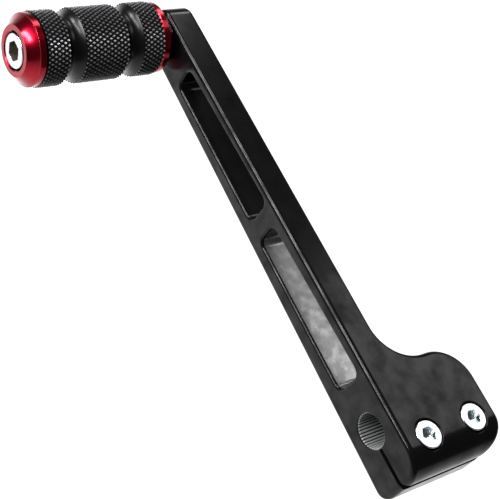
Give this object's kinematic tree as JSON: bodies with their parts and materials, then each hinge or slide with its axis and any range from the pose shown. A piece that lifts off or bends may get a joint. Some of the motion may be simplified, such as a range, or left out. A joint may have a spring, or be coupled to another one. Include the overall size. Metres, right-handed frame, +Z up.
{
  "type": "gear shift lever",
  "caption": "Motorcycle gear shift lever: a black billet arm with lightening windows, a serrated clamp hub and a knurled toe roller with red end caps.",
  "frame": {"origin": "on the shaft bore's axis, at the outboard face of the hub", "axes": "+X from the toe peg towards the pinch slot, +Y along the shaft bore towards the engine, +Z up, on the side of the pinch screw heads"},
  "size_m": [0.1923, 0.0997, 0.0298],
  "materials": {
    "black_arm": "satin black anodised",
    "black_roller": "satin black anodised, knurled",
    "red_cap": "gloss red anodised",
    "steel": "bright zinc plated",
    "sleeve_steel": "ground",
    "insert_steel": "plain stainless",
    "bronze": "oil-filled sintered bronze",
    "acetal": "natural black",
    "nitrile": "moulded"
  },
  "bodies": {
    "lever": {"lever_arm": "black_arm", "pinch_screw_outer": "steel", "pinch_screw_inner": "steel", "pinch_washer_outer": "steel", "pinch_washer_inner": "steel", "peg_bolt": "steel", "peg_bolt_washer": "steel", "peg_thread_insert": "insert_steel", "outer_cap": "red_cap", "inner_cap": "red_cap", "spindle_sleeve": "sleeve_steel", "outer_thrust_washer": "acetal", "inner_thrust_washer": "acetal", "outer_o_ring": "nitrile", "inner_o_ring": "nitrile"},
    "roller": {"knurled_roller": "black_roller", "outer_bush": "bronze", "inner_bush": "bronze"}
  },
  "joints": [
    {"name": "roller_spin", "type": "hinge", "parent": "lever", "child": "roller", "pos_m": [-0.15875, -0.0301, 0.00388], "axis": [0, -1, 0], "continuous": true}
  ]
}
